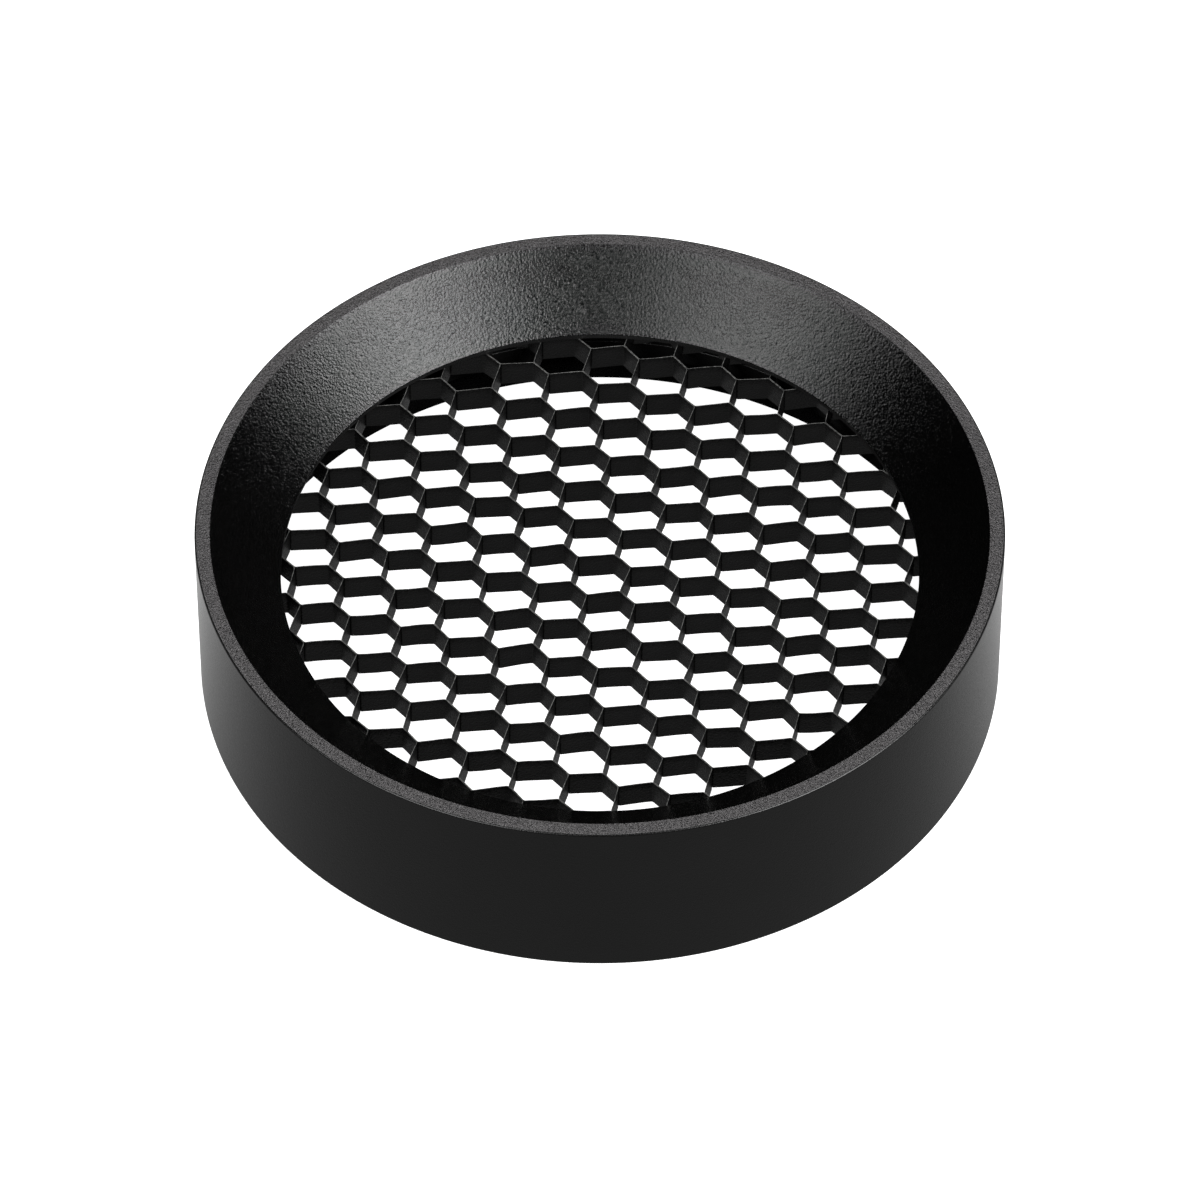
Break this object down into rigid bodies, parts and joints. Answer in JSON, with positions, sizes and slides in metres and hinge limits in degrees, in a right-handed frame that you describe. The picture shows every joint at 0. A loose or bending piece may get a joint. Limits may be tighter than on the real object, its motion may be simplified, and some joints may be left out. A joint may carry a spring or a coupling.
{
  "type": "honeycomb grid",
  "caption": "Round honeycomb light grid: a black shell with a flared funnel mouth, a foil honeycomb disc across its throat and a magnetic rear ring.",
  "frame": {"origin": "centre of the rear rim's plane, the face that meets the light or stands on a table", "axes": "+Z out of the funnel mouth, along the light's beam; X and Y across the disc, with +X to the right where the honeycomb's widest free walls run left to right"},
  "size_m": [0.0996, 0.0996, 0.0242],
  "materials": {
    "shell_plastic": "moulded black, fine satin grain outside, coarse spark-eroded grain in the funnel",
    "ring_plastic": "moulded black, fine matte grain",
    "comb_foil": "thin foil, black coated, satin, with slightly lighter cut edges",
    "magnet_nickel": "bright nickel plate"
  },
  "bodies": {
    "root": {"comb_ribbon_01": "comb_foil", "comb_ribbon_01_offcut_1": "comb_foil", "comb_ribbon_02": "comb_foil", "comb_ribbon_02_offcut_1": "comb_foil", "comb_ribbon_03": "comb_foil", "comb_ribbon_03_offcut_1": "comb_foil", "comb_ribbon_03_offcut_2": "comb_foil", "comb_ribbon_04": "comb_foil", "comb_ribbon_04_offcut_1": "comb_foil", "comb_ribbon_05": "comb_foil", "comb_ribbon_06": "comb_foil", "comb_ribbon_07": "comb_foil", "comb_ribbon_08": "comb_foil", "comb_ribbon_09": "comb_foil", "comb_ribbon_10": "comb_foil", "comb_ribbon_11": "comb_foil", "comb_ribbon_12": "comb_foil", "comb_ribbon_13": "comb_foil", "comb_ribbon_14": "comb_foil", "comb_ribbon_15": "comb_foil", "comb_ribbon_16": "comb_foil", "comb_ribbon_17": "comb_foil", "comb_ribbon_18": "comb_foil", "comb_ribbon_19": "comb_foil", "comb_ribbon_20": "comb_foil", "comb_ribbon_21": "comb_foil", "comb_ribbon_22": "comb_foil", "comb_ribbon_23": "comb_foil", "comb_ribbon_24": "comb_foil", "comb_ribbon_24_offcut_1": "comb_foil", "comb_ribbon_25": "comb_foil", "comb_ribbon_25_offcut_1": "comb_foil", "comb_ribbon_25_offcut_2": "comb_foil", "comb_ribbon_26": "comb_foil", "comb_ribbon_26_offcut_1": "comb_foil", "comb_ribbon_26_offcut_2": "comb_foil", "front_shell": "shell_plastic", "magnet_1": "magnet_nickel", "magnet_2": "magnet_nickel", "magnet_3": "magnet_nickel", "magnet_4": "magnet_nickel", "magnet_5": "magnet_nickel", "magnet_6": "magnet_nickel", "magnet_7": "magnet_nickel", "magnet_8": "magnet_nickel", "rear_ring": "ring_plastic"}
  },
  "joints": []
}
